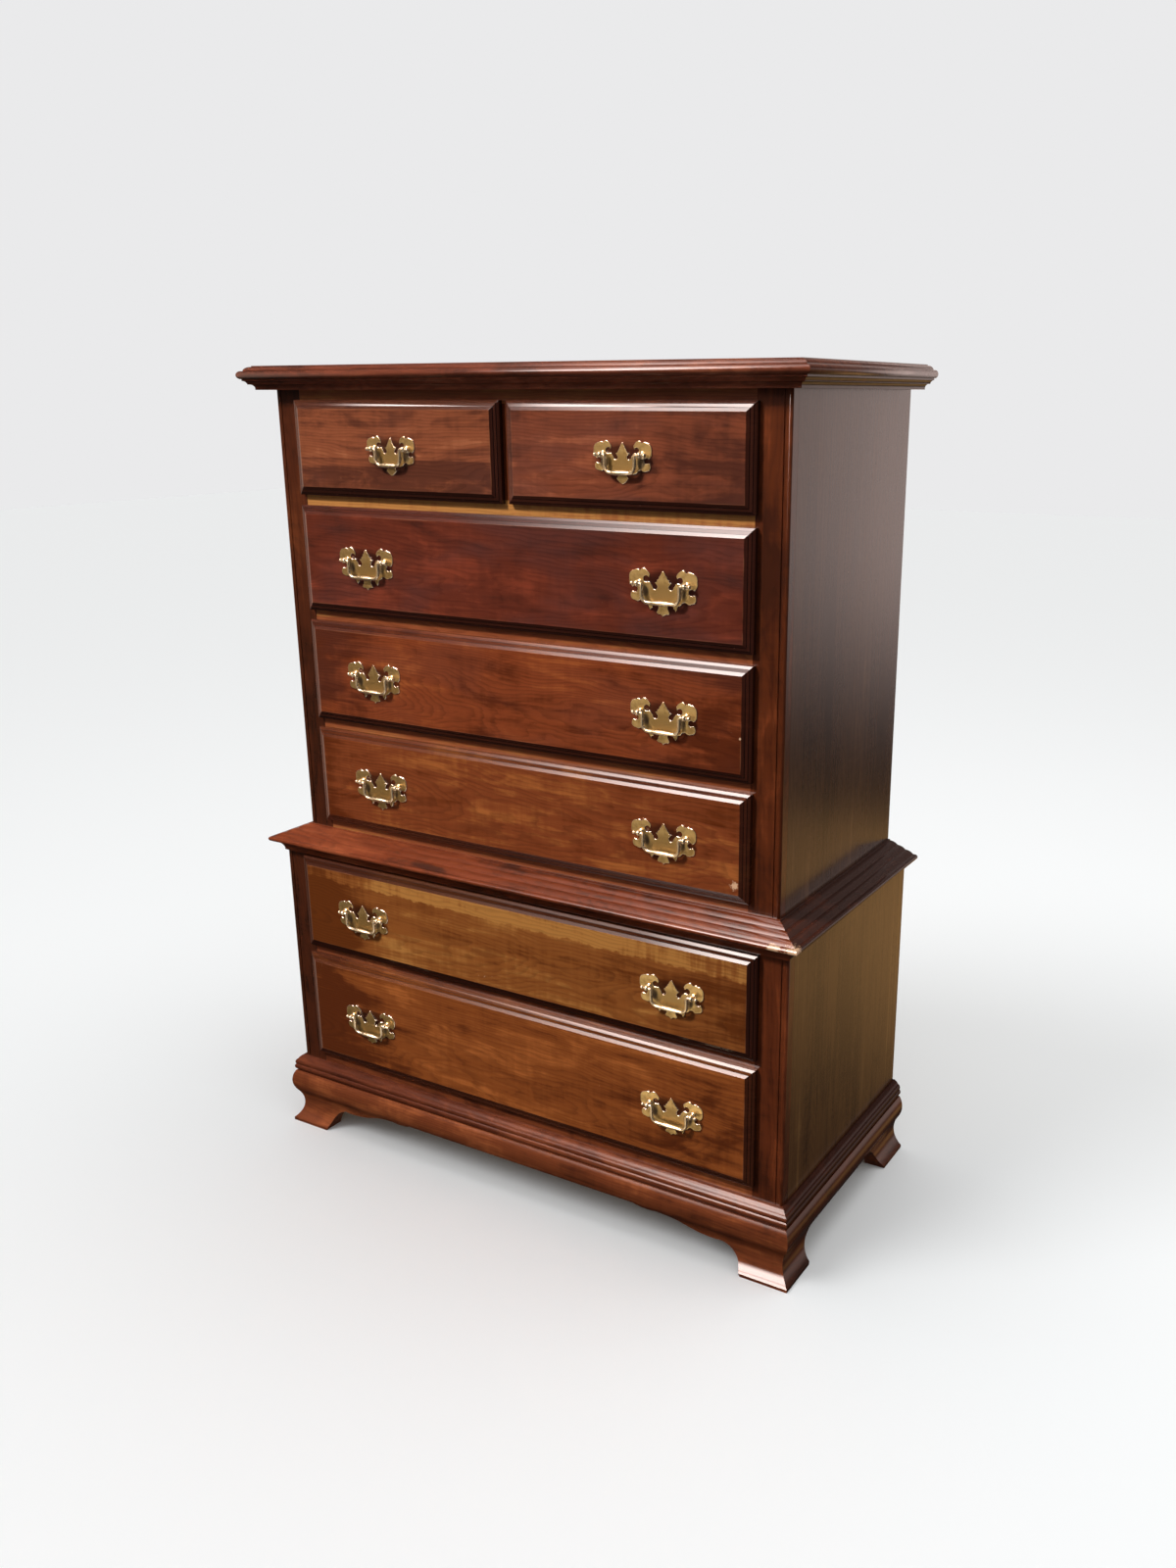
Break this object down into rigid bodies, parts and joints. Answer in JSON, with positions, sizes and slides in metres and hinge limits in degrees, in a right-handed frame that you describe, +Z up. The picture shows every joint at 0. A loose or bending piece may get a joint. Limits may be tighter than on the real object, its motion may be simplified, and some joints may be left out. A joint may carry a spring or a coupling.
{
  "type": "chest of drawers",
  "caption": "Cherry chest-on-chest with moulded cornice, waist and base, sliding lipped drawers, ogee bracket feet and swinging brass bail pulls on fretted plates.",
  "frame": {"origin": "floor level, at the middle of the footprint with the pulls included", "axes": "+X to the right as seen from the front, -Y to the front where the drawers open, +Z up"},
  "size_m": [1.013, 0.4818, 1.333],
  "materials": {
    "cherry": "polished red-brown cherry under clear lacquer",
    "secondary_wood": "plain unpolished poplar",
    "brass": "antique polished brass"
  },
  "bodies": {
    "case": {"upper_left_side": "cherry", "upper_right_side": "cherry", "upper_left_stile": "cherry", "upper_right_stile": "cherry", "upper_rails": "cherry", "small_drawer_divider": "cherry", "upper_drawer_runners": "secondary_wood", "upper_drawer_guides": "secondary_wood", "upper_back_panel": "secondary_wood", "top_board": "cherry", "cornice_moulding": "cherry", "waist_moulding": "cherry", "deck_board": "secondary_wood", "lower_left_side": "cherry", "lower_right_side": "cherry", "lower_left_stile": "cherry", "lower_right_stile": "cherry", "lower_rails": "cherry", "lower_drawer_runners": "secondary_wood", "lower_drawer_guides": "secondary_wood", "lower_back_panel": "secondary_wood", "base_moulding": "cherry", "base_front_board": "cherry", "base_left_board": "cherry", "base_right_board": "cherry", "rear_foot_brackets": "secondary_wood", "foot_glue_blocks": "secondary_wood"},
    "top_left_drawer": {"top_left_drawer_front": "cherry", "top_left_drawer_box": "secondary_wood", "top_left_pull_plates": "brass"},
    "top_left_bail": {"top_left_bail": "brass"},
    "top_right_drawer": {"top_right_drawer_front": "cherry", "top_right_drawer_box": "secondary_wood", "top_right_pull_plates": "brass"},
    "top_right_bail": {"top_right_bail": "brass"},
    "second_drawer": {"second_drawer_front": "cherry", "second_drawer_box": "secondary_wood", "second_pull_plates": "brass"},
    "second_left_bail": {"second_left_bail": "brass"},
    "second_right_bail": {"second_right_bail": "brass"},
    "third_drawer": {"third_drawer_front": "cherry", "third_drawer_box": "secondary_wood", "third_pull_plates": "brass"},
    "third_left_bail": {"third_left_bail": "brass"},
    "third_right_bail": {"third_right_bail": "brass"},
    "fourth_drawer": {"fourth_drawer_front": "cherry", "fourth_drawer_box": "secondary_wood", "fourth_pull_plates": "brass"},
    "fourth_left_bail": {"fourth_left_bail": "brass"},
    "fourth_right_bail": {"fourth_right_bail": "brass"},
    "fifth_drawer": {"fifth_drawer_front": "cherry", "fifth_drawer_box": "secondary_wood", "fifth_pull_plates": "brass"},
    "fifth_left_bail": {"fifth_left_bail": "brass"},
    "fifth_right_bail": {"fifth_right_bail": "brass"},
    "sixth_drawer": {"sixth_drawer_front": "cherry", "sixth_drawer_box": "secondary_wood", "sixth_pull_plates": "brass"},
    "sixth_left_bail": {"sixth_left_bail": "brass"},
    "sixth_right_bail": {"sixth_right_bail": "brass"}
  },
  "joints": [
    {"name": "top_left_drawer_slide", "type": "slide", "parent": "case", "child": "top_left_drawer", "axis": [0, -1, 0], "range_m": [0, 0.3]},
    {"name": "top_left_bail_hinge", "type": "hinge", "parent": "top_left_drawer", "child": "top_left_bail", "pos_m": [-0.207, -0.2051, 1.2111], "axis": [-1, 0, 0], "range_deg": [-8, 90]},
    {"name": "top_right_drawer_slide", "type": "slide", "parent": "case", "child": "top_right_drawer", "axis": [0, -1, 0], "range_m": [0, 0.3]},
    {"name": "top_right_bail_hinge", "type": "hinge", "parent": "top_right_drawer", "child": "top_right_bail", "pos_m": [0.207, -0.2051, 1.2111], "axis": [-1, 0, 0], "range_deg": [-8, 90]},
    {"name": "second_drawer_slide", "type": "slide", "parent": "case", "child": "second_drawer", "axis": [0, -1, 0], "range_m": [0, 0.3]},
    {"name": "second_left_bail_hinge", "type": "hinge", "parent": "second_drawer", "child": "second_left_bail", "pos_m": [-0.271, -0.2051, 1.03955], "axis": [-1, 0, 0], "range_deg": [-8, 90]},
    {"name": "second_right_bail_hinge", "type": "hinge", "parent": "second_drawer", "child": "second_right_bail", "pos_m": [0.271, -0.2051, 1.03955], "axis": [-1, 0, 0], "range_deg": [-8, 90]},
    {"name": "third_drawer_slide", "type": "slide", "parent": "case", "child": "third_drawer", "axis": [0, -1, 0], "range_m": [0, 0.3]},
    {"name": "third_left_bail_hinge", "type": "hinge", "parent": "third_drawer", "child": "third_left_bail", "pos_m": [-0.271, -0.2051, 0.8563], "axis": [-1, 0, 0], "range_deg": [-8, 90]},
    {"name": "third_right_bail_hinge", "type": "hinge", "parent": "third_drawer", "child": "third_right_bail", "pos_m": [0.271, -0.2051, 0.8563], "axis": [-1, 0, 0], "range_deg": [-8, 90]},
    {"name": "fourth_drawer_slide", "type": "slide", "parent": "case", "child": "fourth_drawer", "axis": [0, -1, 0], "range_m": [0, 0.3]},
    {"name": "fourth_left_bail_hinge", "type": "hinge", "parent": "fourth_drawer", "child": "fourth_left_bail", "pos_m": [-0.271, -0.2051, 0.67505], "axis": [-1, 0, 0], "range_deg": [-8, 90]},
    {"name": "fourth_right_bail_hinge", "type": "hinge", "parent": "fourth_drawer", "child": "fourth_right_bail", "pos_m": [0.271, -0.2051, 0.67505], "axis": [-1, 0, 0], "range_deg": [-8, 90]},
    {"name": "fifth_drawer_slide", "type": "slide", "parent": "case", "child": "fifth_drawer", "axis": [0, -1, 0], "range_m": [0, 0.33]},
    {"name": "fifth_left_bail_hinge", "type": "hinge", "parent": "fifth_drawer", "child": "fifth_left_bail", "pos_m": [-0.3025, -0.2366, 0.446], "axis": [-1, 0, 0], "range_deg": [-8, 90]},
    {"name": "fifth_right_bail_hinge", "type": "hinge", "parent": "fifth_drawer", "child": "fifth_right_bail", "pos_m": [0.3025, -0.2366, 0.446], "axis": [-1, 0, 0], "range_deg": [-8, 90]},
    {"name": "sixth_drawer_slide", "type": "slide", "parent": "case", "child": "sixth_drawer", "axis": [0, -1, 0], "range_m": [0, 0.33]},
    {"name": "sixth_left_bail_hinge", "type": "hinge", "parent": "sixth_drawer", "child": "sixth_left_bail", "pos_m": [-0.3025, -0.2366, 0.2505], "axis": [-1, 0, 0], "range_deg": [-8, 90]},
    {"name": "sixth_right_bail_hinge", "type": "hinge", "parent": "sixth_drawer", "child": "sixth_right_bail", "pos_m": [0.3025, -0.2366, 0.2505], "axis": [-1, 0, 0], "range_deg": [-8, 90]}
  ]
}
